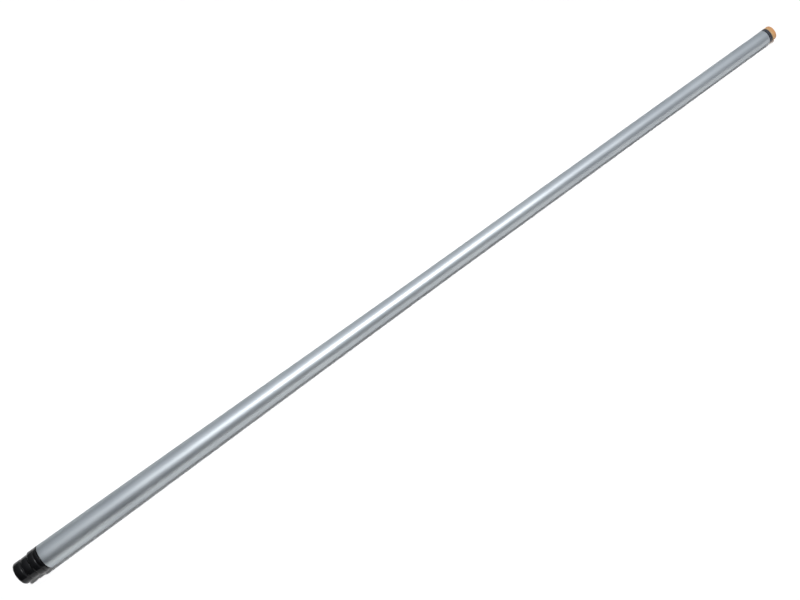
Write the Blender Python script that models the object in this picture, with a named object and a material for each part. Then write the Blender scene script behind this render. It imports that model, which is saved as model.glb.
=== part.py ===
"""Tapered metal shaft of a two-piece cue, with its leather tip and its screw-in joint protector.

The shaft lies along X with the tip towards +X. Its underside at the joint collar touches z = 0,
and x = 0 is half way along the whole object. Every piece is turned about the shaft's own axis, so
each one is an outline of (distance from the joint face, radius) points, spun about that axis.
Distances grow towards the tip, and the protector lies at negative distances.
"""

import math

import bmesh
import bpy

MM = 0.001

# Whole shaft
SHAFT_LENGTH = 736.6 * MM          # joint face to the crown of the tip
SIDES = 24                         # flats around every turned piece, one of them underneath
GAP = 0.3 * MM                     # clearance between neighbouring pieces
WALL = 1.2 * MM                    # thickness of the tube's wall
EDGE = 0.5 * MM                    # machined chamfer on each end of the tube

# Taper of the outside, as a cue maker writes it: (distance from the joint face, diameter)
TAPER = (
    (0.0 * MM, 20.75 * MM),
    (65.0 * MM, 19.90 * MM),
    (145.0 * MM, 18.40 * MM),
    (300.0 * MM, 15.40 * MM),
    (385.0 * MM, 14.15 * MM),
    (470.0 * MM, 13.65 * MM),
    (730.0 * MM, 12.30 * MM),
)
TUBE_RINGS = 16                    # stretches that the taper is divided into
CORE_RINGS = 10

# Tip end
LEATHER_HEIGHT = 5.3 * MM
LEATHER_SIDE = 3.6 * MM            # height of the straight side below the dome
LEATHER_SHOULDER = 0.5 * MM        # radius of the edge between side and dome
DOME_SHARES = (0.85, 0.68, 0.5, 0.3, 0.12)  # shares of the dome's radius that its rings lie at
PAD_THICKNESS = 0.8 * MM
FLANGE_THICKNESS = 1.0 * MM
TIP_SPIGOT = 13.0 * MM             # how far the tip plug reaches into the tube

# Joint end
COLLAR_LENGTH = 5.5 * MM
COLLAR_CHAMFER = 0.8 * MM
RING_LENGTH = 2.6 * MM
SOFT_EDGE = 0.35 * MM              # rounded lips of the collar, the ring and the groove
NOSE_RADIUS = 8.2 * MM             # the plug's nose, which carries the collar and the ring
PLUG_LENGTH = 52.0 * MM            # joint face to the plug's inner end
INSERT_RADIUS = 6.1 * MM
INSERT_LENGTH = 18.0 * MM
PLUG_WELL = 4.0 * MM               # free depth of the plug's bore behind the insert
PLUG_WELL_RADIUS = 5.2 * MM

# Joint thread: 3/8 inch, 10 turns to the inch, with the truncated crests of a cue joint
PITCH = 2.54 * MM
STUD_ROOT = 3.65 * MM
THREAD_DEPTH = 1.0 * MM
CREST_WIDTH = 0.4 * MM
FLANK_ANGLE = math.radians(30.0)
PLAY = 0.3 * MM                    # clearance all round between stud and insert
STUD_REACH = 14.0 * MM             # joint face to the stud's inner end
THREAD_START = 1.2 * MM            # joint face to the first thread of the stud
THREAD_SINK = 0.25 * MM            # how far a ridge's foot is buried in the body it joins

# Joint protector
CAP_LENGTH = 13.6 * MM             # joint face to the cap's end face
CAP_RADIUS = 9.4 * MM
CAP_END_ROUND = 1.9 * MM
GROOVE_PLACE = 6.3 * MM            # joint face to the middle of the cap's groove
GROOVE_HALF = 1.0 * MM
GROOVE_DEPTH = 0.8 * MM
WASHER_THICKNESS = 1.3 * MM
WASHER_RADIUS = 7.0 * MM
WASHER_BORE = 5.0 * MM
STUD_TAIL = 8.5 * MM               # length of the stud that is bonded in the cap
GLUE_GROOVE = 0.4 * MM             # depth of the rings turned in a bonded surface


def clear_scene():
    for thing in list(bpy.data.objects):
        bpy.data.objects.remove(thing, do_unlink=True)


def finish(name, colour, metallic, roughness):
    material = bpy.data.materials.new(name)
    material.use_nodes = True
    shader = material.node_tree.nodes["Principled BSDF"]
    shader.inputs["Base Color"].default_value = (*colour, 1.0)
    shader.inputs["Metallic"].default_value = metallic
    shader.inputs["Roughness"].default_value = roughness
    return material


def taper_radius(distance):
    """Radius of the outside, on a smooth curve through the taper's stations."""
    last = len(TAPER) - 1
    here = max(i for i in range(last) if i == 0 or TAPER[i][0] <= distance)

    def slope(i):
        before, after = TAPER[max(i - 1, 0)], TAPER[min(i + 1, last)]
        return (after[1] - before[1]) / (after[0] - before[0])

    (x0, d0), (x1, d1) = TAPER[here], TAPER[here + 1]
    span = x1 - x0
    u = (distance - x0) / span
    diameter = (
        d0 * (2 * u**3 - 3 * u**2 + 1)
        + d1 * (3 * u**2 - 2 * u**3)
        + slope(here) * span * (u**3 - 2 * u**2 + u)
        + slope(here + 1) * span * (u**3 - u**2)
    )
    return diameter / 2


def taper_points(start, end, inset, stretches):
    """Outline points that follow the taper at a depth of inset below the outside."""
    steps = range(stretches + 1)
    places = [start + (end - start) * step / stretches for step in steps]
    return [(place, taper_radius(place) - inset) for place in places]


def arc(centre, radius, start, end, steps=3):
    """Points of a round edge, in degrees from the direction of growing distance towards outwards."""
    angles = [math.radians(start + (end - start) * step / steps) for step in range(steps + 1)]
    return [(centre[0] + radius * math.cos(a), centre[1] + radius * math.sin(a)) for a in angles]


def grooved(start, end, radius, count):
    """A straight stretch with a few square glue grooves turned in it."""
    width = (end - start) / (2 * count + 1)
    points = [(start, radius)]
    for index in range(count):
        near = start + width * (2 * index + 1)
        far = near + width
        low = radius - GLUE_GROOVE
        points += [(near, radius), (near, low), (far, low), (far, radius)]
    return points + [(end, radius)]


def new_object(name, bm, material, parent):
    mesh = bpy.data.meshes.new(name)
    bm.to_mesh(mesh)
    bm.free()
    mesh.shade_smooth()
    mesh.set_sharp_from_angle(angle=math.radians(35.0))
    piece = bpy.data.objects.new(name, mesh)
    if material:
        piece.data.materials.append(material)
    piece.parent = parent
    bpy.context.scene.collection.objects.link(piece)
    return piece


def turned(name, outline, material, parent, bored=False):
    """Spin an outline about the shaft's axis. A bored piece's outline closes on itself, and any
    other is capped with a flat face at each end. The flats lie at the outline's radii."""
    corner = 1.0 / math.cos(math.pi / SIDES)
    first = -math.pi / 2 + math.pi / SIDES
    across, up = math.cos(first) * corner, math.sin(first) * corner
    bm = bmesh.new()
    verts = [bm.verts.new((x, r * across, r * up)) for x, r in outline]
    edges = [bm.edges.new(pair) for pair in zip(verts, verts[1:])]
    if bored:
        edges.append(bm.edges.new((verts[-1], verts[0])))
    bmesh.ops.spin(
        bm,
        geom=verts + edges,
        cent=(0, 0, 0),
        axis=(1, 0, 0),
        angle=2 * math.pi,
        steps=SIDES,
        use_merge=True,
    )
    bmesh.ops.holes_fill(bm, edges=bm.edges, sides=SIDES)
    bmesh.ops.recalc_face_normals(bm, faces=bm.faces)
    return new_object(name, bm, material, parent)


def thread_half_width(radius):
    """Half the stud thread's thickness along the axis, at a radius."""
    return CREST_WIDTH / 2 + (STUD_ROOT + THREAD_DEPTH - radius) * math.tan(FLANK_ANGLE)


def thread_ridge(name, foot, crest, play, start, end, parent):
    """A right-hand helical ridge from foot to crest radius, which a Boolean joins or cuts away."""
    section = (
        (-thread_half_width(foot) - play, foot),
        (-thread_half_width(crest) - play, crest),
        (thread_half_width(crest) + play, crest),
        (thread_half_width(foot) + play, foot),
    )
    corner = 1.0 / math.cos(math.pi / SIDES)
    steps = math.ceil((end - start) / PITCH * SIDES)
    bm = bmesh.new()
    rings = []
    for step in range(steps + 1):
        angle = 2 * math.pi * (start / PITCH + step / SIDES)
        place = start + PITCH * step / SIDES
        rings.append([
            bm.verts.new((place + x, r * corner * math.cos(angle), r * corner * math.sin(angle)))
            for x, r in section
        ])
    for ring, following in zip(rings, rings[1:]):
        for here in range(len(section)):
            beyond = (here + 1) % len(section)
            bm.faces.new((ring[here], ring[beyond], following[beyond], following[here]))
    bm.faces.new(rings[0])
    bm.faces.new(rings[-1])
    bmesh.ops.recalc_face_normals(bm, faces=bm.faces)
    return hide_guide(new_object(name, bm, None, parent))


def hide_guide(guide):
    guide.hide_render = True
    guide.display_type = "WIRE"
    return guide


def combine(piece, operation, guide):
    boolean = piece.modifiers.new(guide.name, "BOOLEAN")
    boolean.operation = operation
    boolean.solver = "EXACT"
    boolean.object = guide


def build_tube(parent, start, end):
    bare = finish("satin_silver_aluminium", (0.47, 0.50, 0.53), 1.0, 0.35)
    outside = taper_points(start + EDGE, end - EDGE, 0.0, TUBE_RINGS)
    bore = taper_points(start, end, WALL, TUBE_RINGS)
    outline = [(start, taper_radius(start) - EDGE), *outside, (end, taper_radius(end) - EDGE)]
    turned("shaft_tube", outline + bore[::-1], bare, parent, bored=True)


def build_core(parent, start, end):
    foam = finish("damping_foam", (0.72, 0.66, 0.45), 0.0, 0.9)
    turned("damping_core", taper_points(start, end, WALL + GAP, CORE_RINGS), foam, parent)


def build_tip(parent, tube_end):
    plastic = finish("black_tip_plastic", (0.02, 0.02, 0.024), 0.0, 0.35)
    fibre = finish("black_vulcanised_fibre", (0.03, 0.03, 0.035), 0.0, 0.6)
    tan = finish("tan_leather", (0.60, 0.34, 0.15), 0.0, 0.75)

    flange = tube_end + GAP
    flange_end = flange + FLANGE_THICKNESS
    rim = taper_radius(flange)
    spigot_radius = taper_radius(tube_end) - WALL - GAP
    spigot = grooved(tube_end - TIP_SPIGOT, flange, spigot_radius, 3)
    turned("tip_plug", spigot + [(flange, rim), (flange_end, rim)], plastic, parent)

    pad = flange_end + GAP
    pad_end = pad + PAD_THICKNESS
    turned("tip_pad", [(pad, rim), (pad_end, rim)], fibre, parent)

    leather = pad_end + GAP
    side_end = leather + LEATHER_SIDE
    shoulder = arc((side_end, rim - LEATHER_SHOULDER), LEATHER_SHOULDER, 90, 40, 2)
    dome_start, dome_radius = shoulder[-1]
    crown = DOME_SHARES[-1]
    bulge = (SHAFT_LENGTH - dome_start) / (1 - crown**2)
    dome = [
        (SHAFT_LENGTH - bulge * (share**2 - crown**2), dome_radius * share)
        for share in DOME_SHARES
    ]
    turned("leather_tip", [(leather, rim), *shoulder, *dome], tan, parent)


def build_collar(parent):
    """The joint collar and the narrow ring behind it, both carried on the plug's nose."""
    gloss = finish("gloss_black_resin", (0.012, 0.012, 0.014), 0.0, 0.12)
    bore = NOSE_RADIUS + GAP
    outside = taper_radius(0.0)
    lip = SOFT_EDGE

    def rounded_end(end):
        return arc((end - lip, outside - lip), lip, 90, 0)

    collar = [(0.0, outside - COLLAR_CHAMFER), (COLLAR_CHAMFER, outside)]
    collar += rounded_end(COLLAR_LENGTH) + [(COLLAR_LENGTH, bore), (0.0, bore)]
    turned("joint_collar", collar, gloss, parent, bored=True)

    start = COLLAR_LENGTH + GAP
    end = start + RING_LENGTH
    ring = arc((start + lip, outside - lip), lip, 180, 90)
    ring += [(end, outside), (end, bore), (start, bore)]
    turned("trim_ring", ring, gloss, parent, bored=True)
    return end


def build_plug(parent, tube_start):
    """The plug bonded in the tube's thick end. Its bore is blind, and its nose reaches the face."""
    maple = finish("turned_maple", (0.62, 0.44, 0.26), 0.0, 0.6)
    bore = INSERT_RADIUS + GAP
    seat = INSERT_LENGTH + GAP
    well = seat + PLUG_WELL
    body = taper_points(tube_start + GAP, PLUG_LENGTH, WALL + GAP, 3)
    outline = [(well, PLUG_WELL_RADIUS), (seat, PLUG_WELL_RADIUS), (seat, bore), (0.0, bore)]
    outline += [(0.0, NOSE_RADIUS), (tube_start + GAP, NOSE_RADIUS), *body]
    turned("joint_plug", outline, maple, parent)


def build_insert(parent):
    """The brass insert in the plug, with the shaft's internal thread."""
    brass = finish("turned_brass", (0.72, 0.50, 0.20), 1.0, 0.28)
    bore = STUD_ROOT + PLAY
    root = STUD_ROOT + THREAD_DEPTH + PLAY
    start = GAP
    outside = grooved(start, INSERT_LENGTH, INSERT_RADIUS, 4)
    mouth = [(INSERT_LENGTH, root), (INSERT_LENGTH - THREAD_DEPTH, bore)]
    mouth += [(start + THREAD_DEPTH, bore), (start, root)]
    insert = turned("thread_insert", outside + mouth, brass, parent, bored=True)
    cut_start = -2 * PITCH
    cut_end = INSERT_LENGTH + 2 * PITCH
    foot = bore - THREAD_SINK
    cut = thread_ridge("insert_thread_cut", foot, root, PLAY, cut_start, cut_end, parent)
    combine(insert, "DIFFERENCE", cut)


def build_protector(sliding, turning):
    """The washer slides with the protector, and the cap and its stud also turn."""
    gloss = finish("gloss_black_moulding", (0.012, 0.012, 0.014), 0.0, 0.12)
    rubber = finish("black_rubber", (0.02, 0.02, 0.02), 0.0, 0.8)
    steel = finish("turned_steel", (0.55, 0.55, 0.56), 1.0, 0.25)

    washer_start = -GAP - WASHER_THICKNESS
    washer = [(washer_start, WASHER_RADIUS), (-GAP, WASHER_RADIUS)]
    washer += [(-GAP, WASHER_BORE), (washer_start, WASHER_BORE)]
    turned("protector_washer", washer, rubber, sliding, bored=True)

    recess = washer_start - GAP
    tail_end = recess - STUD_TAIL
    stud_bore = STUD_ROOT + PLAY
    lip = SOFT_EDGE
    end_centre = (CAP_END_ROUND - CAP_LENGTH, CAP_RADIUS - CAP_END_ROUND)
    end_round = arc(end_centre, CAP_END_ROUND, 180, 90, 4)
    groove_start = -GROOVE_PLACE - GROOVE_HALF
    groove_end = -GROOVE_PLACE + GROOVE_HALF
    groove = [
        (groove_start, CAP_RADIUS),
        (groove_start + lip, CAP_RADIUS - lip / 2),
        (-GROOVE_PLACE, CAP_RADIUS - GROOVE_DEPTH),
        (groove_end - lip, CAP_RADIUS - lip / 2),
        (groove_end, CAP_RADIUS),
    ]
    face = arc((-GAP - lip, CAP_RADIUS - lip), lip, 90, 0)
    inside = [(-GAP, WASHER_RADIUS + GAP), (recess, WASHER_RADIUS + GAP)]
    inside += [(recess, stud_bore), (tail_end - GAP, stud_bore)]
    turned("protector_cap", end_round + groove + face + inside, gloss, turning)

    tail = grooved(tail_end, recess, STUD_ROOT, 3)
    foot = STUD_ROOT - THREAD_SINK
    nose = [(STUD_REACH - THREAD_SINK, STUD_ROOT), (STUD_REACH, foot)]
    stud = turned("protector_stud", tail + nose, steel, turning)
    crest = STUD_ROOT + THREAD_DEPTH
    thread_end = STUD_REACH + PITCH
    ridge = thread_ridge("stud_thread", foot, crest, 0.0, THREAD_START, thread_end, turning)
    combine(stud, "UNION", ridge)
    trim_start = STUD_REACH - THREAD_DEPTH
    outer = crest + PLAY
    trim = [(tail_end - GAP, outer), (trim_start, outer), (trim_start, crest), (STUD_REACH, STUD_ROOT)]
    envelope = hide_guide(turned("stud_end_trim", trim, None, turning))
    combine(stud, "INTERSECT", envelope)


def empty(name, parent=None):
    guide = bpy.data.objects.new(name, None)
    guide.parent = parent
    bpy.context.scene.collection.objects.link(guide)
    return guide


def build():
    clear_scene()
    shaft = empty("shaft_axis")
    shaft.location = ((CAP_LENGTH - SHAFT_LENGTH) / 2, 0.0, taper_radius(0.0))
    sliding = empty("protector_slide", shaft)
    turning = empty("protector_turn", sliding)

    ring_end = build_collar(shaft)
    tube_start = ring_end + GAP
    tip_stack = LEATHER_HEIGHT + PAD_THICKNESS + FLANGE_THICKNESS + 3 * GAP
    tube_end = SHAFT_LENGTH - tip_stack
    build_tube(shaft, tube_start, tube_end)
    build_plug(shaft, tube_start)
    build_insert(shaft)
    build_core(shaft, PLUG_LENGTH + GAP, tube_end - TIP_SPIGOT - GAP)
    build_tip(shaft, tube_end)
    build_protector(sliding, turning)


build()
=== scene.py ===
# %% [markdown]
# # A metal cue shaft, finished
#
# This is the front half of a two-piece cue: a long tapered tube of satin aluminium with a leather
# tip at the thin end. At the thick end sit a black collar and a screw-in protector that keeps dirt
# out of the joint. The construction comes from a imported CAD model, and this file gives each piece
# the surface that a maker would give it. The tools used are bmesh for the turned shapes and shader
# nodes for the finishes.

import math

import bmesh
import bpy
from mathutils import Matrix, Vector, noise


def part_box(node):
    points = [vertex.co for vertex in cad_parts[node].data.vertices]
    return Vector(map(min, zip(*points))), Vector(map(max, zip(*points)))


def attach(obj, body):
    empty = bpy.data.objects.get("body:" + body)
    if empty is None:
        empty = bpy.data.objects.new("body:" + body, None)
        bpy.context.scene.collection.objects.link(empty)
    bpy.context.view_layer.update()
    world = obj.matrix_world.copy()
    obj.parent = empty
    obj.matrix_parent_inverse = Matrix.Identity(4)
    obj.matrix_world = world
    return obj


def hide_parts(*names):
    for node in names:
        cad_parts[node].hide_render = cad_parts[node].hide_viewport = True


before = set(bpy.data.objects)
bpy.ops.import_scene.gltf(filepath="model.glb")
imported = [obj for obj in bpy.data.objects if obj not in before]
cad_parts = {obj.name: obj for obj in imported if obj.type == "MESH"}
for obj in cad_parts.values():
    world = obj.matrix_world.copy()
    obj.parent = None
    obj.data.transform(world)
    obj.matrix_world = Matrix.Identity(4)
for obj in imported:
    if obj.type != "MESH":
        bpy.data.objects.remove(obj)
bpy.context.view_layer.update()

# %% [markdown]
# ## Where things are
#
# Every piece of a cue shaft is turned on a lathe, so one axis and one starting face place them all.
# The face is the end of the joint collar, where the butt screws on, and the axis runs through the
# middle of the collar. From here on a place along the shaft is a distance from the joint face,
# growing towards the tip, and the protector has negative distances.

# %% Axis and joint face
MM = 0.001
collar_low, collar_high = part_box("joint_collar")
joint_face = collar_low.x
axis_height = (collar_low.z + collar_high.z) / 2


def reach(node):
    """First and last distance from the joint face, and the largest radius, of a CAD piece."""
    low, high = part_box(node)
    return low.x - joint_face, high.x - joint_face, (high.z - low.z) / 2


for node in ("protector_cap", "joint_collar", "trim_ring", "shaft_tube", "leather_tip"):
    start, end, radius = reach(node)
    print(f"{node}: {start / MM:.1f} to {end / MM:.1f} mm, {radius * 2 / MM:.2f} mm across")

# %% [markdown]
# ## A lathe
#
# A turned piece is an outline carried once round the axis. Blender's Screw modifier or the bmesh
# spin operator can do that, but writing the rings by hand takes only a few lines and leaves every
# corner where a thread can still be cut into it later. No real edge is perfectly sharp, so each
# corner of an outline may carry an easing, and a short curve replaces the corner there. That little
# curve is what catches the light along an edge.

# %% Eased outlines and turned pieces
ROUND = 96            # sides of a turned piece, fine enough to look round from close by
EASE_STEPS = 4
SHARP_ANGLE = math.radians(40)


def eased(corners, closed=False):
    """Points of an outline whose (distance, radius, easing) corners are rounded off."""
    points = []
    last = len(corners) - 1
    for i, (x, r, easing) in enumerate(corners):
        if not easing or (not closed and i in (0, last)):
            points.append((x, r))
            continue
        corner = Vector((x, r))
        before = Vector(corners[i - 1][:2]) - corner
        after = Vector(corners[(i + 1) % len(corners)][:2]) - corner
        before = before.normalized() * min(easing, before.length / 2)
        after = after.normalized() * min(easing, after.length / 2)
        for step in range(EASE_STEPS + 1):
            t = step / EASE_STEPS
            bend = corner + before * (1 - t) ** 2 + after * t**2
            points.append((bend.x, bend.y))
    return points


def turn(name, points, material, bored=False):
    """Carry an outline round the shaft's axis. A bored piece closes on itself, others are capped."""
    bm = bmesh.new()
    rings = []
    for x, r in points:
        angles = [2 * math.pi * side / ROUND for side in range(ROUND)]
        rings.append([
            bm.verts.new((joint_face + x, r * math.cos(a), axis_height + r * math.sin(a)))
            for a in angles
        ])
    pairs = list(zip(rings, rings[1:]))
    if bored:
        pairs.append((rings[-1], rings[0]))
    for here, there in pairs:
        for side in range(ROUND):
            beside = (side + 1) % ROUND
            bm.faces.new((here[side], here[beside], there[beside], there[side]))
    if not bored:
        bm.faces.new(rings[0])
        bm.faces.new(rings[-1])
    bmesh.ops.recalc_face_normals(bm, faces=bm.faces)
    mesh = bpy.data.meshes.new(name)
    bm.to_mesh(mesh)
    bm.free()
    mesh.shade_smooth()
    mesh.set_sharp_from_angle(angle=SHARP_ANGLE)
    mesh.materials.append(material)
    piece = bpy.data.objects.new(name, mesh)
    bpy.context.scene.collection.objects.link(piece)
    return piece


def fit(piece, node, body):
    """Put a finished piece in the place of its CAD node, on the body that carries it."""
    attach(piece, body)
    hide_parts(node)
    print(f"{piece.name}: {len(piece.data.polygons)} faces, for {node}")


print("the lathe turns pieces with", ROUND, "sides")

# %% [markdown]
# ## Colours and nodes
#
# A maker names a colour as it looks on a screen, in sRGB hex. Blender's shaders work with linear
# light, so one function turns the one into the other. A second small function adds any node: values
# go on its sockets, and a socket of another node is linked.

# %% Colour and node helpers
def linear(hex_colour):
    """The linear colour of an sRGB hex value."""
    parts = [int(hex_colour[i:i + 2], 16) / 255 for i in (1, 3, 5)]
    return (*[c / 12.92 if c <= 0.04045 else ((c + 0.055) / 1.055) ** 2.4 for c in parts], 1.0)


def add(tree, kind, sockets=None, **settings):
    """Add a node, with its settings, its socket values and its links from other nodes' outputs."""
    node = tree.nodes.new("ShaderNode" + kind)
    for name, value in settings.items():
        setattr(node, name, value)
    for name, value in (sockets or {}).items():
        if isinstance(value, bpy.types.NodeSocket):
            tree.links.new(value, node.inputs[name])
        else:
            node.inputs[name].default_value = value
    return node


def blank_material(name):
    """An empty node material and the object coordinates, in metres, that its patterns start from."""
    material = bpy.data.materials.new(name)
    material.use_nodes = True
    tree = material.node_tree
    tree.nodes.clear()
    return material, tree, add(tree, "TexCoord").outputs["Object"]


def show(tree, sockets):
    """Finish a material with a Principled shader."""
    shader = add(tree, "BsdfPrincipled", sockets)
    add(tree, "OutputMaterial", {"Surface": shader.outputs[0]})


def per(size):
    """Noise scale whose blotches are about this many metres across."""
    return 1 / size


print("tan leather in linear light:", [round(c, 3) for c in linear("#C69A6B")[:3]])

# %% [markdown]
# ## Anodised aluminium
#
# The tube is drawn aluminium, blasted with fine beads and then anodised in its natural silver. The
# blasting leaves a skin of tiny dents that spreads a lamp's reflection into one long soft streak,
# and the anodic film cools the metal's colour towards blue. Metallic is 1 and the IOR keeps its
# default. Two patterns lie on it: the grain of the beads, and the faint lengthwise lines that the
# drawing die leaves under them.

# %% Aluminium of the tube
BEAD_GRAIN = 0.9 * MM     # real dents are about 0.1 mm, drawn coarser so that they show
DIE_LINE_WIDTH = 0.7 * MM
DIE_LINE_LENGTH = 60 * MM
HANDLING_PATCH = 35 * MM

anodised_aluminium, tree, place = blank_material("anodised_aluminium")
grain = add(tree, "TexNoise", {"Vector": place, "Scale": per(BEAD_GRAIN), "Detail": 2.0})
along = add(tree, "Mapping", {
    "Vector": place,
    "Scale": (per(DIE_LINE_LENGTH), per(DIE_LINE_WIDTH), per(DIE_LINE_WIDTH)),
})
die_lines = add(tree, "TexNoise", {"Vector": along.outputs[0], "Scale": 1.0, "Detail": 1.0})
patches = add(tree, "TexNoise", {"Vector": place, "Scale": per(HANDLING_PATCH), "Detail": 3.0})
tone = add(tree, "MapRange", {
    "Value": patches.outputs["Fac"], "From Min": 0.35, "From Max": 0.65, "To Min": 0.0, "To Max": 1.0,
})
silver = add(tree, "Mix", {
    0: tone.outputs[0], 6: linear("#B1B6B9"), 7: linear("#B8BDBF"),
}, data_type="RGBA")
haze = add(tree, "MapRange", {
    "Value": die_lines.outputs["Fac"], "From Min": 0.3, "From Max": 0.7, "To Min": 0.38, "To Max": 0.44,
})
dents = add(tree, "Bump", {"Height": grain.outputs["Fac"], "Strength": 0.05, "Distance": 0.1 * MM})
lines = add(tree, "Bump", {
    "Height": die_lines.outputs["Fac"], "Strength": 0.04, "Distance": 0.1 * MM,
    "Normal": dents.outputs[0],
})
show(tree, {
    "Base Color": silver.outputs[2],
    "Metallic": 1.0,
    "Specular Tint": linear("#A9AEB3"),
    "Roughness": haze.outputs[0],
    "Normal": lines.outputs[0],
})
print("made", anodised_aluminium.name)

# %% [markdown]
# Both ends of the tube are faced on the lathe after anodising, which leaves a narrow chamfer of
# bare metal. Fresh cut aluminium is paler and shinier than the film beside it, and the tool leaves
# fine rings round the cut.

# %% Bare cut edge
TOOL_RING = 0.12 * MM

cut_aluminium, tree, place = blank_material("cut_aluminium")
across = add(tree, "Mapping", {"Vector": place, "Scale": (per(TOOL_RING), 1.0, 1.0)})
rings = add(tree, "TexNoise", {"Vector": across.outputs[0], "Scale": 1.0, "Detail": 2.0})
polish = add(tree, "MapRange", {"Value": rings.outputs["Fac"], "To Min": 0.2, "To Max": 0.34})
show(tree, {
    "Base Color": linear("#E4E6E8"), "Metallic": 1.0, "Roughness": polish.outputs[0],
})
print("made", cut_aluminium.name)

# %% [markdown]
# ## The tube
#
# A cue maker writes a taper as a list of diameters along the shaft: nearly even towards the tip,
# then swelling to the joint. The CAD tube holds that taper in its rings of corners, so the rings
# are read back and a smooth curve is drawn through them. Faces of the outside point away from the
# axis, and faces of a bore point to it. The CAD piece has flat sides whose middles lie at the real
# radius, hence the cosine.

# %% Read the taper
CAD_SIDES = 24
SAME_RING = 0.03 * MM     # rings nearer than this to each other are one
FACING = 0.2              # how far a face has to lean from, or to, the axis to count
SMOOTH_STEPS = 5


def rings_of(node, outside=True):
    """The (distance, radius) of each ring of corners on a CAD piece's outside, or in its bore."""
    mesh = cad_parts[node].data
    facing = 1 if outside else -1
    rings = set()
    for face in mesh.polygons:
        across = Vector((0, face.center.y, face.center.z - axis_height)).normalized()
        if facing * face.normal.dot(across) < FACING:
            continue
        for corner in (mesh.vertices[i].co for i in face.vertices):
            radius = math.hypot(corner.y, corner.z - axis_height) * math.cos(math.pi / CAD_SIDES)
            rings.add((round(corner.x - joint_face, 5), radius))
    apart = []
    for ring in sorted(rings):
        if not apart or math.dist(ring, apart[-1]) > SAME_RING:
            apart.append(ring)
    return apart


def smooth_curve(points):
    """More points on a smooth (Catmull-Rom) curve through the given ones."""
    curve = [points[0]]
    for i in range(len(points) - 1):
        p0, p1 = Vector(points[max(i - 1, 0)]), Vector(points[i])
        p2, p3 = Vector(points[i + 1]), Vector(points[min(i + 2, len(points) - 1)])
        for step in range(1, SMOOTH_STEPS + 1):
            t = step / SMOOTH_STEPS
            sway = (p2 - p0) * t + (2 * p0 - 5 * p1 + 4 * p2 - p3) * t**2
            sway += (3 * p1 - p0 - 3 * p2 + p3) * t**3
            curve.append(tuple(p1 + sway / 2))
    return curve


tube_rings = rings_of("shaft_tube")
outside = smooth_curve(tube_rings[1:-1])
bore = smooth_curve(rings_of("shaft_tube", outside=False))
print("rings of corners on the tube:", len(tube_rings))
print(f"the taper has {len(outside)} rings, {outside[0][1] * 2 / MM:.2f} mm to"
      f" {outside[-1][1] * 2 / MM:.2f} mm across")

# %% [markdown]
# The tube is the taper outside and the bore inside, joined at the faced ends. Each end gets its
# chamfer, with a touch of easing where the chamfer meets the skin. The chamfers and faces take the
# second material.

# %% Turn the tube
FINE_EDGE = 0.12 * MM

skin_start = eased([(*tube_rings[0], 0), (*outside[0], FINE_EDGE), (*outside[1], 0)])
skin_end = eased([(*outside[-2], 0), (*outside[-1], FINE_EDGE), (*tube_rings[-1], 0)])
tube_outline = skin_start[:-1] + outside[1:-1] + skin_end[1:] + bore[::-1]
tube = turn("shaft_tube_skin", tube_outline, anodised_aluminium, bored=True)
tube.data.materials.append(cut_aluminium)
for face in tube.data.polygons:
    place_along = face.center.x - joint_face
    if place_along < outside[0][0] or place_along > outside[-1][0]:
        face.material_index = 1
fit(tube, "shaft_tube", "shaft")

# %% [markdown]
# ## Black resin
#
# Collar, trim ring and protector are turned from black phenolic resin and buffed on a cloth wheel.
# Buffed resin is nearly a mirror, but the wheel leaves a haze of fine swirls, and the lathe's last
# rings stay faintly visible under it. So the roughness is low and uneven, and a very shallow bump
# runs round the piece.

# %% Buffed resin
SWIRL = 3.0 * MM
LATHE_RING = 0.35 * MM    # the tool's feed is nearer 0.1 mm, drawn coarser so that it shows

buffed_resin, tree, place = blank_material("buffed_black_resin")
swirls = add(tree, "TexNoise", {"Vector": place, "Scale": per(SWIRL), "Detail": 5.0})
haze = add(tree, "MapRange", {
    "Value": swirls.outputs["Fac"], "From Min": 0.3, "From Max": 0.7, "To Min": 0.08, "To Max": 0.15,
})
across = add(tree, "Mapping", {
    "Vector": place, "Scale": (per(LATHE_RING), per(SWIRL), per(SWIRL)),
})
feed = add(tree, "TexNoise", {"Vector": across.outputs[0], "Scale": 1.0, "Detail": 1.0})
tooled = add(tree, "Bump", {"Height": feed.outputs["Fac"], "Strength": 0.06, "Distance": 0.05 * MM})
dye = add(tree, "Mix", {
    0: swirls.outputs["Fac"], 6: linear("#060607"), 7: linear("#0A0A0C"),
}, data_type="RGBA")
show(tree, {
    "Base Color": dye.outputs[2], "Roughness": haze.outputs[0], "Normal": tooled.outputs[0],
    "Specular IOR Level": 0.28,
})
print("made", buffed_resin.name)

# %% [markdown]
# ## Collar and trim ring
#
# The collar's joint face is chamfered so that the edge doesn't bruise. Where the collar meets the
# ring it is crowned, with a long and shallow round that faces the tip. A sharp corner would show as
# a hard line, while this round sparkles when a lamp stands over the middle of the shaft.

# %% Turn collar and ring
BROKEN_EDGE = 0.35 * MM
JOINT_CHAMFER = 0.8 * MM
CROWNED_LIP = 0.55 * MM   # half the length of the long, shallow rounding at the seam

start, end, radius = reach("joint_collar")
collar_bore = rings_of("joint_collar", outside=False)[0][1]
collar = turn("collar", eased([
    (start, radius - JOINT_CHAMFER, FINE_EDGE),
    (start + JOINT_CHAMFER, radius, FINE_EDGE * 2),
    (end - CROWNED_LIP, radius, CROWNED_LIP),
    (end, radius - BROKEN_EDGE, FINE_EDGE),
    (end, collar_bore, 0),
    (start, collar_bore, FINE_EDGE),
], closed=True), buffed_resin, bored=True)
fit(collar, "joint_collar", "shaft")

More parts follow.
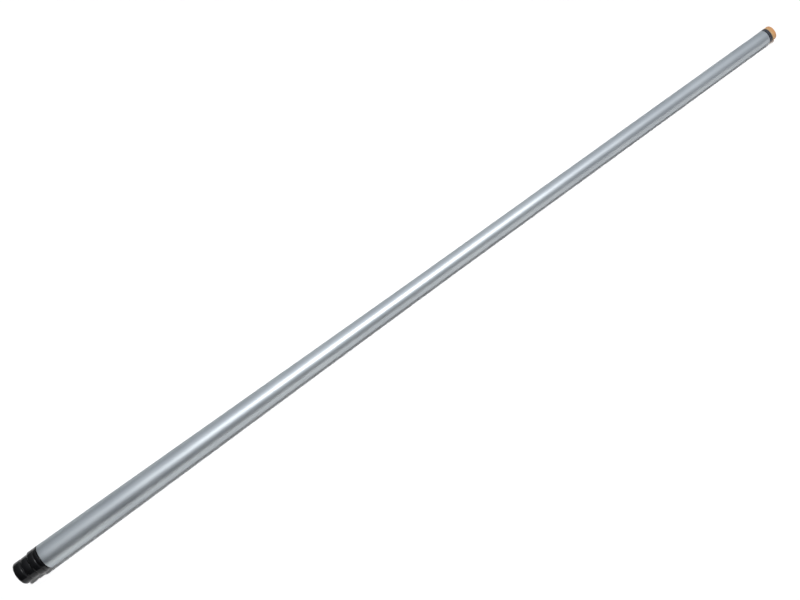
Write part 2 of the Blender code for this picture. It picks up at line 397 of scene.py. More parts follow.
start, end, radius = reach("trim_ring")
ring = turn("ring", eased([
    (start, radius, BROKEN_EDGE),
    (end, radius, FINE_EDGE),
    (end, collar_bore, 0),
    (start, collar_bore, 0),
], closed=True), buffed_resin, bored=True)
fit(ring, "trim_ring", "shaft")

# %% [markdown]
# ## The plug in the joint
#
# Behind the collar a turned maple plug is bonded in the tube. Only its nose shows, as a pale ring
# of end grain round the brass, and only when the protector is off. End grain is crossed by the
# tree's year rings and dotted with cut pores. So the colour comes from rings about an axis that
# lies beside the plug, where the heart of the tree was, with fine dark specks for the pores.

# %% Turned maple
YEAR_RING = 1.6 * MM
PORE = 0.3 * MM          # a maple pore is under 0.1 mm, drawn coarser so that it shows
HEART_OFFSET = 40 * MM   # how far the heart of the tree lay beside the plug
GRAIN_STRETCH = 10       # wood changes this much more slowly along the plug than across it
ONE_BAND = 0.3           # wave scale that gives about one ring for each unit of length

turned_maple, tree, place = blank_material("turned_maple")
beside = add(tree, "Mapping", {
    "Vector": place, "Location": (0.0, HEART_OFFSET / YEAR_RING, 0.0),
    "Scale": (per(YEAR_RING) / GRAIN_STRETCH, per(YEAR_RING), per(YEAR_RING)),
})
from_heart = add(tree, "TexWave", {
    "Vector": beside.outputs[0], "Scale": ONE_BAND, "Distortion": 1.0, "Detail": 2.0,
}, wave_type="RINGS", rings_direction="X")
pores = add(tree, "TexNoise", {"Vector": place, "Scale": per(PORE), "Detail": 1.0})
specks = add(tree, "MapRange", {"Value": pores.outputs["Fac"], "From Min": 0.58, "From Max": 0.72})
wood = add(tree, "Mix", {
    0: from_heart.outputs["Fac"], 6: linear("#D2B184"), 7: linear("#BE9766"),
}, data_type="RGBA")
pitted = add(tree, "Mix", {
    0: specks.outputs[0], 6: wood.outputs[2], 7: linear("#8A6238"),
}, data_type="RGBA")
rough_cut = add(tree, "Bump", {
    "Height": pores.outputs["Fac"], "Strength": 0.2, "Distance": 0.1 * MM,
})
show(tree, {"Base Color": pitted.outputs[2], "Roughness": 0.55, "Normal": rough_cut.outputs[0]})
print("made", turned_maple.name)

# %% [markdown]
# The plug's outline comes from its CAD piece too: a nose that carries the collar and the ring, a
# shoulder against the tube, the body in the tube, and a blind bore for the insert. Its nose gets a
# broken edge, because a maker never leaves wood sharp where hands screw a cue together.

# %% Turn the plug
plug_outside = rings_of("joint_plug")
plug_bore = rings_of("joint_plug", outside=False)
nose_radius = plug_outside[0][1]
body = [ring for ring in plug_outside if ring[1] > nose_radius + FINE_EDGE]
shoulder = body[0][0]
bore_radius = plug_bore[0][1]
well_end, well_radius = plug_bore[-1]
seat = next(x for x, r in plug_bore if r < bore_radius - FINE_EDGE)
plug = turn("plug", eased([
    (well_end, well_radius, 0),
    (seat, well_radius, FINE_EDGE),
    (seat, bore_radius, FINE_EDGE),
    (0.0, bore_radius, FINE_EDGE),
    (0.0, nose_radius, BROKEN_EDGE),
    (shoulder, nose_radius, FINE_EDGE),
    *[(x, r, FINE_EDGE) for x, r in body],
]), turned_maple)
fit(plug, "joint_plug", "shaft")

# %% [markdown]
# ## Threads
#
# The joint is a coarse right-hand thread, ten turns to the inch. The Screw modifier makes such a
# helix as a separate sweep, which then has to be merged with the rod. Here the rod is turned with
# many fine rings instead, and each corner is moved outwards by the height that the thread has at
# its distance and angle. The result is one clean closed mesh. The height rises and falls smoothly,
# like the rounded crests and roots of a rolled thread.

# %% A thread on a turned piece
PITCH = 2.54 * MM          # 3/8 inch joint thread
THREAD_DEPTH = 1.0 * MM
THREAD_ROW = 0.12 * MM     # spacing of the rings that a thread is cut into


def fine_rows(start, end, radius, end_radius):
    """Closely spaced rings on a straight or conical stretch, ready for a thread."""
    count = math.ceil((end - start) / THREAD_ROW)
    rows = []
    for step in range(count + 1):
        share = step / count
        rows.append((start + (end - start) * share, radius + (end_radius - radius) * share))
    return rows


def cut_thread(piece, root, foot, crest, start, end, fade=0):
    """Move corners out to a helix. Foot and crest are half the ridge's widths, low and high."""
    for vertex in piece.data.vertices:
        along = vertex.co.x - joint_face
        y, z = vertex.co.y, vertex.co.z - axis_height
        radius = math.hypot(y, z)
        if not start <= along <= end:
            continue
        turns = along / PITCH - math.atan2(z, y) / (2 * math.pi)
        off_centre = abs(turns - round(turns)) * PITCH
        height = min(max((foot - off_centre) / (foot - crest), 0), 1)
        if fade:
            height *= min((along - start) / fade, (end - along) / fade, 1)
        height = height**2 * (3 - 2 * height)
        grown = max(1, (root + THREAD_DEPTH * height) / radius)
        vertex.co.y = y * grown
        vertex.co.z = axis_height + z * grown
    piece.data.set_sharp_from_angle(angle=SHARP_ANGLE)


print(f"a thread turn takes {PITCH / THREAD_ROW:.0f} rings")

# %% [markdown]
# ## Brass insert
#
# The insert is turned from free-cutting brass bar. A fresh turned surface is bright, and a few years
# in a joint dull it to a warm brown in patches. Tool rings run round it, so the bump changes fast
# along the axis and slowly round it. A soft noise stands for the tarnish, and it changes both the
# colour and the roughness.

# %% Turned brass
CUTTER_FEED = 0.15 * MM
TARNISH = 4.0 * MM

turned_brass, tree, place = blank_material("turned_brass")
across = add(tree, "Mapping", {"Vector": place, "Scale": (per(CUTTER_FEED), 1.0, 1.0)})
feed = add(tree, "TexNoise", {"Vector": across.outputs[0], "Scale": 1.0, "Detail": 2.0})
film = add(tree, "TexNoise", {"Vector": place, "Scale": per(TARNISH), "Detail": 4.0})
dulled = add(tree, "MapRange", {"Value": film.outputs["Fac"], "From Min": 0.4, "From Max": 0.65})
yellow = add(tree, "Mix", {
    0: dulled.outputs[0], 6: linear("#D9B564"), 7: linear("#A98445"),
}, data_type="RGBA")
shine = add(tree, "MapRange", {"Value": film.outputs["Fac"], "To Min": 0.2, "To Max": 0.42})
tooled = add(tree, "Bump", {"Height": feed.outputs["Fac"], "Strength": 0.15, "Distance": 0.05 * MM})
show(tree, {
    "Base Color": yellow.outputs[2], "Metallic": 1.0, "Roughness": shine.outputs[0],
    "Normal": tooled.outputs[0],
})
print("made", turned_brass.name)

# %% [markdown]
# The stud's thread decides the insert's. The insert's hole is as wide as the stud's root plus the
# play, and its groove is wider than the ridge that runs in it. Both ends of the hole are
# countersunk, and the groove runs out through the cones, so that the stud finds its way in.

# %% Tap the insert
PLAY = 0.3 * MM                          # the CAD thread's clearance, all round
FLANK = math.tan(math.radians(30))       # how fast the thread narrows towards its crest
STUD_ROOT = 3.65 * MM
CREST = 0.2 * MM                         # half the thread's width at its top, on the stud
FOOT = CREST + THREAD_DEPTH * FLANK      # and at its root
SLACK = PLAY * (1 - FLANK)               # added to the groove's half widths, for play at each flank

start, end, insert_radius = reach("thread_insert")
tapped = STUD_ROOT + PLAY
groove_root = tapped + THREAD_DEPTH
mouth = start + THREAD_DEPTH
exit_cone = end - THREAD_DEPTH
insert_bore = fine_rows(start, mouth, groove_root, tapped)
insert_bore += fine_rows(mouth, exit_cone, tapped, tapped)[1:]
insert_bore += fine_rows(exit_cone, end, tapped, groove_root)[1:]
insert_outside = eased([
    (end, groove_root, 0),
    (end, insert_radius, BROKEN_EDGE),
    (start, insert_radius, BROKEN_EDGE),
    (start, groove_root, 0),
])[1:-1]
insert = turn("insert", insert_bore + insert_outside, turned_brass, bored=True)
cut_thread(insert, tapped, foot=FOOT + SLACK, crest=CREST + SLACK, start=start, end=end)
print(f"tapped hole {tapped * 2 / MM:.2f} mm, groove root {groove_root * 2 / MM:.2f} mm")
fit(insert, "thread_insert", "shaft")

# %% [markdown]
# ## Foam in the tube
#
# A hollow metal tube rings when it hits a ball, so the shaft is filled with rigid foam. It can't be
# seen once the tip plug and the joint plug are in, and its CAD shape is right as it is. So that
# piece stays, and only its material slot changes. Rigid foam is a mass of small closed bubbles: a
# Voronoi pattern gives the cells, and a bump raises them. The cream colour is painted lighter towards
# each cell's edge, a painted highlight where the edges would catch the light.

# %% Rigid foam on the CAD core
FOAM_CELL = 0.8 * MM

rigid_foam, tree, place = blank_material("rigid_polyurethane_foam")
cells = add(tree, "TexVoronoi", {"Vector": place, "Scale": per(FOAM_CELL)})
# Foam cream, painted lighter towards each cell's edge as a painted highlight.
cream_and_painted_edge_light = add(tree, "Mix", {
    0: cells.outputs["Distance"], 6: linear("#D9CFA2"), 7: linear("#EFE8C8"),
}, data_type="RGBA")
bubbles = add(tree, "Bump", {
    "Height": cells.outputs["Distance"], "Strength": 0.5, "Distance": 0.3 * MM,
})
show(tree, {"Base Color": cream_and_painted_edge_light.outputs[2], "Roughness": 0.9, "Normal": bubbles.outputs[0]})
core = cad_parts["damping_core"]
if not core.material_slots:
    core.data.materials.append(rigid_foam)
for material_slot in core.material_slots:
    material_slot.material = rigid_foam
print("foam on", core.name, "with", len(core.material_slots), "slot")

# %% [markdown]
# ## Tip end: plug flange and pad
#
# The thin end is closed by a black acetal plug. Its spigot sits in the tube and only its flange
# shows. Turned acetal is satin, with fine lathe rings. On it lies a thin pad of vulcanised fibre,
# paper pressed hard with dye, which is mattish, slightly blue and flecked.

# %% Black acetal and vulcanised fibre
FIBRE_FLECK = 0.35 * MM
ACETAL_FEED = 0.2 * MM
ACETAL_STREAK = 50 * MM

black_acetal, tree, place = blank_material("turned_black_acetal")
across = add(tree, "Mapping", {
    "Vector": place, "Scale": (per(ACETAL_FEED), per(ACETAL_STREAK), per(ACETAL_STREAK)),
})
feed = add(tree, "TexNoise", {"Vector": across.outputs[0], "Scale": 1.0, "Detail": 2.0})
dye = add(tree, "Mix", {
    0: feed.outputs["Fac"], 6: linear("#33353C"), 7: linear("#40434B"),
}, data_type="RGBA")
satin = add(tree, "MapRange", {"Value": feed.outputs["Fac"], "To Min": 0.3, "To Max": 0.42})
tooled = add(tree, "Bump", {"Height": feed.outputs["Fac"], "Strength": 0.15, "Distance": 0.05 * MM})
show(tree, {
    "Base Color": dye.outputs[2], "Roughness": satin.outputs[0], "Normal": tooled.outputs[0],
})

vulcanised_fibre, tree, place = blank_material("vulcanised_fibre")
flecks = add(tree, "TexNoise", {"Vector": place, "Scale": per(FIBRE_FLECK), "Detail": 3.0})
dyed = add(tree, "MapRange", {"Value": flecks.outputs["Fac"], "From Min": 0.4, "From Max": 0.65})
paper = add(tree, "Mix", {
    0: dyed.outputs[0], 6: linear("#363840"), 7: linear("#454750"),
}, data_type="RGBA")
pressed = add(tree, "Bump", {"Height": flecks.outputs["Fac"], "Strength": 0.25, "Distance": 0.05 * MM})
show(tree, {"Base Color": paper.outputs[2], "Roughness": 0.6, "Normal": pressed.outputs[0]})
print("made", black_acetal.name, "and", vulcanised_fibre.name)

# %% [markdown]
# Both pieces are plain discs outside, with edges that are barely broken, because the maker turns
# them flush with the tube after gluing. The plug's spigot has a small lead-in that helps it into
# the tube. A ring of corners halfway in keeps the flat ends evenly shaded.

# %% Turn the tip plug and the pad
spigot_start, flange_end, rim = reach("tip_plug")
spigot_radius = rings_of("tip_plug")[0][1]
flange_start = max(x for x, _ in rings_of("tip_plug") if x < flange_end - FINE_EDGE)
tip_plug = turn("tip_plug_turned", eased([
    (spigot_start, spigot_radius - BROKEN_EDGE, 0),
    (spigot_start + BROKEN_EDGE, spigot_radius, 0),
    (flange_start, spigot_radius, 0),
    (flange_start, rim, FINE_EDGE),
    (flange_end, rim, FINE_EDGE),
    (flange_end, rim / 2, 0),
]), black_acetal)
fit(tip_plug, "tip_plug", "shaft")

start, end, radius = reach("tip_pad")
pad = turn("fibre_pad", eased([
    (start, radius / 2, 0),
    (start, radius, FINE_EDGE),
    (end, radius, FINE_EDGE),
    (end, radius / 2, 0),
]), vulcanised_fibre)
fit(pad, "tip_pad", "shaft")

# %% [markdown]
# ## Leather tip
#
# A cue tip is a disc of pigskin, glued in layers and pressed. After it is glued on, its side is
# turned flush with the shaft and burnished with a damp cloth until it shines a little, and its
# crown is shaped with a coarse file. So one piece has two finishes: a side with faint layers round
# it, a redder band in the middle and a yellower edge where it meets the pad, and a dry, scuffed
# crown with traces of chalk.

# %% Burnished leather side
LAYER = 0.5 * MM         # thickness of one pressed layer of skin
LEATHER_GRAIN = 0.45 * MM
STREAK = 3.0 * MM

tip_start, tip_end, tip_radius = reach("leather_tip")
burnished_leather, tree, place = blank_material("burnished_tip_leather")
axes = add(tree, "SeparateXYZ", {"Vector": place})
depth = add(tree, "MapRange", {
    "Value": axes.outputs["X"], "From Min": joint_face + tip_start, "From Max": joint_face + tip_end,
})
bands = add(tree, "ValToRGB", {"Fac": depth.outputs[0]})
stops = bands.color_ramp.elements
stops[0].position = 0.0
stops[0].color = linear("#D0B285")
stops[1].position = 1.0
stops[1].color = linear("#CDA271")
middle = stops.new(0.42)
middle.color = linear("#CC9462")
round_it = add(tree, "Mapping", {
    "Vector": place, "Scale": (per(LAYER), per(STREAK), per(STREAK)),
})
layers = add(tree, "TexNoise", {"Vector": round_it.outputs[0], "Scale": 1.0, "Detail": 3.0})
layer_tone = add(tree, "MapRange", {
    "Value": layers.outputs["Fac"], "From Min": 0.35, "From Max": 0.65, "To Min": 0.0, "To Max": 0.35,
})
side = add(tree, "Mix", {
    0: layer_tone.outputs[0], 6: bands.outputs[0], 7: linear("#B07E50"),
}, data_type="RGBA")
grain = add(tree, "TexNoise", {"Vector": place, "Scale": per(LEATHER_GRAIN), "Detail": 4.0})
worn = add(tree, "MapRange", {"Value": grain.outputs["Fac"], "To Min": 0.5, "To Max": 0.75})
layer_lines = add(tree, "Bump", {
    "Height": layers.outputs["Fac"], "Strength": 0.3, "Distance": 0.1 * MM,
})
pores = add(tree, "Bump", {
    "Height": grain.outputs["Fac"], "Strength": 0.3, "Distance": 0.1 * MM,
    "Normal": layer_lines.outputs[0],
})
show(tree, {
    "Base Color": side.outputs[2], "Roughness": worn.outputs[0], "Normal": pores.outputs[0],
})
print("made", burnished_leather.name)

# %% [markdown]
# The crown holds chalk, so it is greyer and quite rough. The file leaves coarse scratches in all
# directions, and a fine noise with much detail imitates them.

# %% Scuffed crown
SCUFF = 0.6 * MM
CHALK_PATCH = 2.5 * MM

scuffed_leather, tree, place = blank_material("scuffed_tip_leather")
scuffs = add(tree, "TexNoise", {"Vector": place, "Scale": per(SCUFF), "Detail": 6.0})
patches = add(tree, "TexNoise", {"Vector": place, "Scale": per(CHALK_PATCH), "Detail": 3.0})
chalked = add(tree, "MapRange", {
    "Value": patches.outputs["Fac"], "From Min": 0.45, "From Max": 0.7, "To Max": 0.6,
})
hide_tone = add(tree, "Mix", {
    0: scuffs.outputs["Fac"], 6: linear("#B98A5C"), 7: linear("#8E6743"),
}, data_type="RGBA")
dusted = add(tree, "Mix", {
    0: chalked.outputs[0], 6: hide_tone.outputs[2], 7: linear("#9AA0A0"),
}, data_type="RGBA")
filed = add(tree, "Bump", {"Height": scuffs.outputs["Fac"], "Strength": 0.7, "Distance": 0.25 * MM})
show(tree, {"Base Color": dusted.outputs[2], "Roughness": 0.88, "Normal": filed.outputs[0]})
print("made", scuffed_leather.name)

# %% [markdown]
# The tip's shape: a straight side, a small shoulder where the file stopped, and a dome of about the
# curve of a coin. Leather never stays perfectly true, so a noise that is the same on every run
# pulls the side in by up to a twentieth of a millimetre and pits the crown.

# %% Turn the tip
SHOULDER_ROUND = 0.5 * MM
SHOULDER_RISE = 0.3 * MM     # from the end of the side to the foot of the dome, along the shaft
SHOULDER_STEP = 0.2 * MM     # and towards the axis
SIDE_HEIGHT = 3.6 * MM
DOME_RINGS = 14
SAG = 0.05 * MM
SAG_SIZE = 2.0 * MM

side_end = tip_start + SIDE_HEIGHT
rise = tip_end - side_end - SHOULDER_RISE
dome_foot = tip_radius - SHOULDER_STEP
coin = (dome_foot**2 + rise**2) / (2 * rise)
dome = []
for step in range(DOME_RINGS):
    across_dome = dome_foot * (1 - step / DOME_RINGS)
    dome.append((tip_end - coin + math.sqrt(coin**2 - across_dome**2), across_dome))
side_outline = eased([
    (tip_start, tip_radius / 2, 0),
    (tip_start, tip_radius, FINE_EDGE),
    (side_end, tip_radius, SHOULDER_ROUND),
    (*dome[0], 0),
])
tip = turn("tip", side_outline + dome[1:], burnished_leather)
tip.data.materials.append(scuffed_leather)
for vertex in tip.data.vertices:
    pull = (noise.noise(vertex.co / SAG_SIZE) - 1) / 2 * SAG
    along = vertex.co.x - joint_face
    if along > side_end:
        vertex.co.x += pull
    elif along > tip_start:
        shrink = 1 + pull / tip_radius
        vertex.co.y *= shrink
        vertex.co.z = axis_height + (vertex.co.z - axis_height) * shrink
for face in tip.data.polygons:
    if face.center.x - joint_face > side_end + SHOULDER_ROUND / 2:
        face.material_index = 1
fit(tip, "leather_tip", "shaft")
print(f"dome radius {coin / MM:.1f} mm")

# %% [markdown]
# ## Joint protector
#
# The protector is the cap that screws on the joint when the shaft is put away: a resin cap with a
# finger groove, a steel stud bonded in it, and a rubber washer that stops it from working loose.
# The cap and its stud turn together, while the washer only slides with them. So the washer rides
# on a body of its own.

# %% Turn the cap
END_ROUND = 1.9 * MM
GROOVE_HALF = 1.0 * MM
GROOVE_DEPTH = 0.8 * MM
GROOVE_PLACE = 6.3 * MM   # joint face to the middle of the groove
ROUND_STEPS = 8

cap_end, cap_face, cap_radius = reach("protector_cap")
recess_radius = rings_of("protector_cap", outside=False)[-1][1]
tail_bore_end, tail_bore = rings_of("protector_cap", outside=False)[0]
recess = rings_of("protector_cap", outside=False)[-2][0]
end_round = []
for step in range(ROUND_STEPS + 1):
    angle = math.pi / 2 * step / ROUND_STEPS
    end_round.append((
        cap_end + END_ROUND * (1 - math.cos(angle)),
        cap_radius - END_ROUND * (1 - math.sin(angle)),
    ))
cap = turn("cap", end_round + eased([
    (*end_round[-1], 0),
    (-GROOVE_PLACE - GROOVE_HALF, cap_radius, CROWNED_LIP),
    (-GROOVE_PLACE, cap_radius - GROOVE_DEPTH, FINE_EDGE),
    (-GROOVE_PLACE + GROOVE_HALF, cap_radius, BROKEN_EDGE),
    (cap_face, cap_radius, BROKEN_EDGE),
    (cap_face, recess_radius, FINE_EDGE),
    (recess, recess_radius, FINE_EDGE),
    (recess, tail_bore, FINE_EDGE),
    (tail_bore_end, tail_bore, 0),
])[1:], buffed_resin)
fit(cap, "protector_cap", "protector")

# %% [markdown]
# ## Steel stud
#
# The stud is turned and threaded from bright steel bar. The thread's flanks keep the marks of the
# die, which run round it.

# %% Turned steel
DIE_MARK = 0.2 * MM
DIE_MARKS_ROUND = 60.0    # changes per metre round the stud, where the marks run on for a long way
SMEAR = 5.0 * MM

turned_steel, tree, place = blank_material("turned_bright_steel")
across = add(tree, "Mapping", {
    "Vector": place, "Scale": (per(DIE_MARK), DIE_MARKS_ROUND, DIE_MARKS_ROUND),
})
marks = add(tree, "TexNoise", {"Vector": across.outputs[0], "Scale": 1.0, "Detail": 2.0})
smears = add(tree, "TexNoise", {"Vector": place, "Scale": per(SMEAR), "Detail": 3.0})
grey = add(tree, "Mix", {
    0: smears.outputs["Fac"], 6: linear("#C2C2C0"), 7: linear("#AEAFB0"),
}, data_type="RGBA")
shine = add(tree, "MapRange", {"Value": marks.outputs["Fac"], "To Min": 0.18, "To Max": 0.34})
tooled = add(tree, "Bump", {"Height": marks.outputs["Fac"], "Strength": 0.2, "Distance": 0.05 * MM})
show(tree, {
    "Base Color": grey.outputs[2], "Metallic": 1.0, "Roughness": shine.outputs[0],
    "Normal": tooled.outputs[0],
})
print("made", turned_steel.name)

# %% [markdown]
# The stud's plain tail is bonded in the cap, and a plain neck passes through the washer. Beyond the
# joint face the thread grows out of the neck and fades again towards the end, as a thread does
# where the die starts and stops.

# %% Turn the stud
THREAD_FROM = 0.6 * MM    # from the joint face to where the thread starts to grow
RUN_OUT = 1.0 * MM

tail_start, stud_end, _ = reach("protector_stud")
stud = turn("stud", [
    (tail_start, STUD_ROOT - BROKEN_EDGE),
    (tail_start + BROKEN_EDGE, STUD_ROOT),
    *fine_rows(0.0, stud_end - BROKEN_EDGE, STUD_ROOT, STUD_ROOT),
    (stud_end, STUD_ROOT - BROKEN_EDGE),
], turned_steel)
cut_thread(stud, STUD_ROOT, foot=FOOT, crest=CREST, start=THREAD_FROM, end=stud_end, fade=RUN_OUT)
fit(stud, "protector_stud", "protector")
print(f"stud root {STUD_ROOT * 2 / MM:.2f} mm, crest {(STUD_ROOT + THREAD_DEPTH) * 2 / MM:.2f} mm")

# %% [markdown]
# ## Rubber washer
#
# The washer is punched from black rubber sheet: dull, slightly grey, with a fine grain and edges
# that a punch leaves a little rounded.

# %% Punched rubber and the washer
RUBBER_GRAIN = 0.3 * MM

punched_rubber, tree, place = blank_material("punched_rubber_sheet")
bloom = add(tree, "TexNoise", {"Vector": place, "Scale": per(RUBBER_GRAIN), "Detail": 3.0})
soot = add(tree, "Mix", {
    0: bloom.outputs["Fac"], 6: linear("#1E1E1F"), 7: linear("#2C2C2D"),
}, data_type="RGBA")
matt = add(tree, "MapRange", {"Value": bloom.outputs["Fac"], "To Min": 0.7, "To Max": 0.9})
fine_grain = add(tree, "Bump", {"Height": bloom.outputs["Fac"], "Strength": 0.3, "Distance": 0.1 * MM})
show(tree, {
    "Base Color": soot.outputs[2], "Roughness": matt.outputs[0], "Normal": fine_grain.outputs[0],
})

start, end, radius = reach("protector_washer")
hole = rings_of("protector_washer", outside=False)[0][1]
washer = turn("washer_punched", eased([
    (start, radius, FINE_EDGE * 2),
    (end, radius, FINE_EDGE * 2),
    (end, hole, FINE_EDGE),
    (start, hole, FINE_EDGE),
], closed=True), punched_rubber, bored=True)
fit(washer, "protector_washer", "washer")

# %% [markdown]
# ## Floor
#
# The shaft lies on a white sheet. It touches under the joint, where it is thickest, and under the
# tip, so the sheet rises slightly towards the tip. White paint returns about nine tenths of the
# light. A little light of its own, seen only by the eye and in reflections, brings the sheet up to
# clean white and still leaves the shaft's shadow on it.

# %% White sheet
SHEET_SIZE = 12.0
SHEET_GAP = 0.05 * MM
SHEET_GLOW = 0.08
TOOTH = 1.5 * MM

white_sheet, tree, place = blank_material("white_painted_sheet")
tooth = add(tree, "TexNoise", {"Vector": place, "Scale": per(TOOTH), "Detail": 2.0})
white = add(tree, "Mix", {
    0: tooth.outputs["Fac"], 6: linear("#F3F3F3"), 7: linear("#F6F6F6"),
}, data_type="RGBA")
eye = add(tree, "LightPath")
seen = add(tree, "Math", {
    0: eye.outputs["Is Camera Ray"], 1: eye.outputs["Is Glossy Ray"],
}, operation="ADD")
seen_all = add(tree, "Math", {
    0: seen.outputs[0], 1: eye.outputs["Is Transmission Ray"],
}, operation="ADD", use_clamp=True)
glow = add(tree, "Math", {0: seen_all.outputs[0], 1: SHEET_GLOW}, operation="MULTIPLY")
show(tree, {
    "Base Color": white.outputs[2], "Roughness": 0.9, "Specular IOR Level": 0.2,
    "Emission Color": linear("#FFFFFF"), "Emission Strength": glow.outputs[0],
})

low_joint = Vector((joint_face + outside[0][0], 0.0, axis_height - outside[0][1]))
low_tip = Vector((joint_face + tip_end - SHOULDER_ROUND, 0.0, axis_height - tip_radius))
slope = math.atan2(low_tip.z - low_joint.z, low_tip.x - low_joint.x)
bm = bmesh.new()
bmesh.ops.create_grid(bm, x_segments=2, y_segments=2, size=SHEET_SIZE / 2)
mesh = bpy.data.meshes.new("floor_sheet")
bm.to_mesh(mesh)
bm.free()
mesh.materials.append(white_sheet)
sheet = bpy.data.objects.new("floor_sheet", mesh)
bpy.context.scene.collection.objects.link(sheet)
sheet.location = low_joint - Vector((0.0, 0.0, SHEET_GAP))
sheet.rotation_euler = (0.0, -slope, 0.0)
print(f"the sheet rises {math.degrees(slope):.2f} degrees towards the tip")

# %% [markdown]
# ## Light
#
# A satin tube is a mirror for its surroundings, so its shading is decided by what stands round it.
# One large soft lamp overhead draws the long highlight, and the bulb inside it makes the small
# sparkles on the black edges. Both are hidden from diffuse rays, so they only draw reflections.
# A third lamp does the opposite work. It is a sun, whose light is equally strong all over the sheet,
# and it stands nearly overhead and a little to the front. It lights everything that isn't a mirror
# and draws the narrow dark shadow where the shaft touches the sheet. It is hidden from glossy rays,
# so that it adds no second highlight.

# %% Lamps
WORK_LIGHT = 3.0                      # about pi, so that a colour renders as it is written
WORK_LIGHT_WIDTH = math.radians(5)    # how large it looks from below, which softens its shadow
FORWARD_TILT = math.radians(8.5)


def soft_lamp(name, place, size, watts):
    """A rectangular area lamp that faces straight down."""
    data = bpy.data.lights.new(name, "AREA")
    data.shape = "RECTANGLE"
    data.size, data.size_y = size
    data.energy = watts
    lamp = bpy.data.objects.new(name, data)
    bpy.context.scene.collection.objects.link(lamp)
    lamp.location = place
    print(f"{name}: {watts} W at {place}")
    return lamp


softbox = soft_lamp("overhead_softbox", (0.05, -0.19, 1.2), (0.9, 0.74), 4.9)
softbox.visible_diffuse = False
bulb = soft_lamp("softbox_bulb", (0.05, -0.15, 1.19), (0.16, 0.16), 2.2)
bulb.visible_diffuse = False

work_light = bpy.data.lights.new("work_light", "SUN")
work_light.energy = WORK_LIGHT
work_light.angle = WORK_LIGHT_WIDTH
work_lamp = bpy.data.objects.new("work_light", work_light)
bpy.context.scene.collection.objects.link(work_lamp)
work_lamp.rotation_euler = (FORWARD_TILT, 0.0, 0.0)
work_lamp.visible_glossy = False
print(f"{work_lamp.name}: {WORK_LIGHT} W per square metre")

# %% [markdown]
# The room round the lamp gives the flanks their grey. Its walls differ: it is brighter behind the
# shaft than in front of it, it fades towards the joint, and the ceiling is brightest near the lamp.
# Three colour ramps hold those levels along the room, and the direction of a ray picks and mixes
# them. The eye and the metal see the room in full, while less of it lights the sheet, because even
# light from all sides would wash the shadow out.

# %% Room
RAMP_START, RAMP_END = -0.45, 0.6     # directions along the shaft, towards the joint and the tip
ROOM_LIGHT = 0.2                      # share of the room's brightness that lights things evenly

room = bpy.data.worlds.new("studio_room")
room.use_nodes = True
tree = room.node_tree
tree.nodes.clear()
axes = add(tree, "SeparateXYZ", {"Vector": add(tree, "TexCoord").outputs["Generated"]})
lengthwise = add(tree, "MapRange", {
    "Value": axes.outputs["X"], "From Min": RAMP_START, "From Max": RAMP_END,
})


def wall(levels):
    """The brightness of one side of the room at a few directions from joint to tip."""
    ramp = add(tree, "ValToRGB", {"Fac": lengthwise.outputs[0]})
    stops = ramp.color_ramp.elements
    while len(stops) < len(levels):
        stops.new(0.5)
    for stop, (direction, level) in zip(stops, levels):
        stop.position = (direction - RAMP_START) / (RAMP_END - RAMP_START)
        stop.color = (level, level, level, 1.0)
    return ramp.outputs[0]


behind = wall([(-0.4, 0.22), (-0.25, 0.5), (-0.1, 0.72), (0.05, 0.88), (0.3, 0.85), (0.55, 0.65)])
front = wall([(-0.4, 0.08), (-0.25, 0.2), (-0.1, 0.35), (0.1, 0.4), (0.35, 0.48), (0.55, 0.6)])
ceiling = wall([(-0.4, 0.05), (-0.25, 0.3), (-0.1, 0.75), (0.05, 0.9), (0.3, 0.5), (0.55, 0.1)])

to_back = add(tree, "MapRange", {
    "Value": axes.outputs["Y"], "From Min": -0.8, "From Max": 0.8,
}, interpolation_type="SMOOTHSTEP")
walls = add(tree, "Mix", {0: to_back.outputs[0], 6: front, 7: behind}, data_type="RGBA")
upwards = add(tree, "MapRange", {
    "Value": axes.outputs["Z"], "From Min": 0.45, "From Max": 1.0,
}, interpolation_type="SMOOTHSTEP")
glow_above = add(tree, "Mix", {0: upwards.outputs[0], 6: walls.outputs[2], 7: ceiling},
                 data_type="RGBA", blend_type="ADD")
tinted = add(tree, "Mix", {0: 1.0, 6: glow_above.outputs[2], 7: linear("#F2F7FF")},
             data_type="RGBA", blend_type="MULTIPLY")
ray = add(tree, "LightPath")
mirrored = add(tree, "Math", {
    0: ray.outputs["Is Camera Ray"], 1: ray.outputs["Is Glossy Ray"],
}, operation="ADD")
looked_at = add(tree, "Math", {
    0: mirrored.outputs[0], 1: ray.outputs["Is Transmission Ray"],
}, operation="ADD", use_clamp=True)
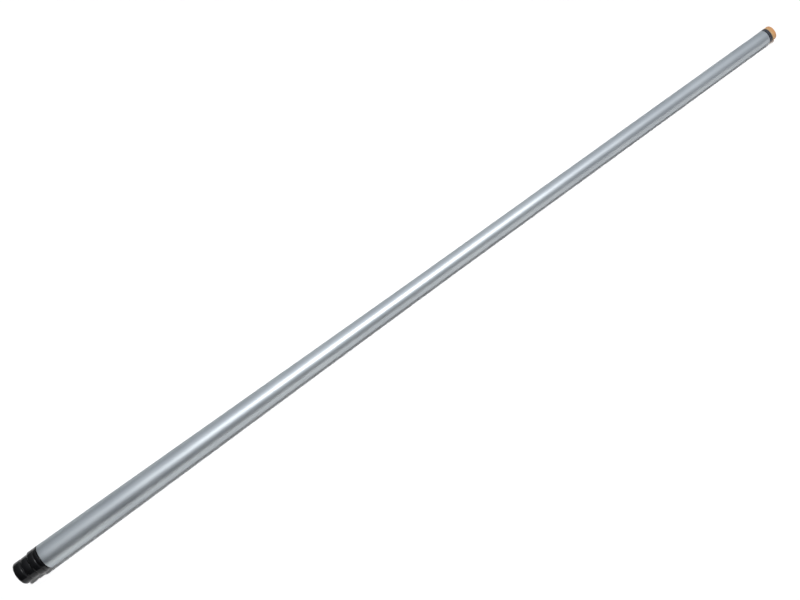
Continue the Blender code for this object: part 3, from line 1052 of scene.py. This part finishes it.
strength = add(tree, "MapRange", {
    "Value": looked_at.outputs[0], "To Min": ROOM_LIGHT, "To Max": 1.0,
})
sky = add(tree, "Background", {"Color": tinted.outputs[2], "Strength": strength.outputs[0]})
add(tree, "OutputWorld", {"Surface": sky.outputs[0]})
bpy.context.scene.world = room
print("room:", len(tree.nodes), "nodes")

# %% [markdown]
# ## Camera
#
# The camera looks down on the shaft from in front and stands nearer to the thick end. It is turned
# about its own line of sight, so that the shaft runs from the lower left to the upper right.

# %% Place the camera
CAMERA_RISE = math.radians(64.5)     # angle above the floor, looking across the shaft
CAMERA_LEAN = math.radians(5.6)      # how far the line of sight leans towards the tip
CAMERA_ROLL = math.radians(35.8)     # slant of the shaft in the frame
CAMERA_DISTANCE = 745.4 * MM         # from the shaft's axis
CAMERA_FOOT = 274.2 * MM             # nearest point of the axis, from the joint face
AIM_OFFSET = 0.12 * MM               # how far the camera stands off, square to its line of sight
SENSOR_WIDTH = 36.0
LENS = 41.94

across_sight = Vector((0.0, math.cos(CAMERA_RISE), -math.sin(CAMERA_RISE)))
sight = math.cos(CAMERA_LEAN) * across_sight + math.sin(CAMERA_LEAN) * Vector((1, 0, 0))
along_shaft = (Vector((1, 0, 0)) - sight * sight.x).normalized()
beside_shaft = along_shaft.cross(sight)
frame_right = math.cos(CAMERA_ROLL) * along_shaft - math.sin(CAMERA_ROLL) * beside_shaft
frame_up = math.sin(CAMERA_ROLL) * along_shaft + math.cos(CAMERA_ROLL) * beside_shaft
foot = Vector((joint_face + CAMERA_FOOT, 0.0, axis_height))
eye_point = foot - CAMERA_DISTANCE * across_sight + AIM_OFFSET * beside_shaft

lens = bpy.data.cameras.new("camera")
lens.sensor_width = SENSOR_WIDTH
lens.lens = LENS
camera = bpy.data.objects.new("camera", lens)
bpy.context.scene.collection.objects.link(camera)
turned_to = Matrix((frame_right, frame_up, -sight)).transposed()
camera.matrix_world = Matrix.Translation(eye_point) @ turned_to.to_4x4()
bpy.context.scene.camera = camera
bpy.context.scene.view_settings.view_transform = "Standard"
print("camera at", [round(c, 3) for c in eye_point])
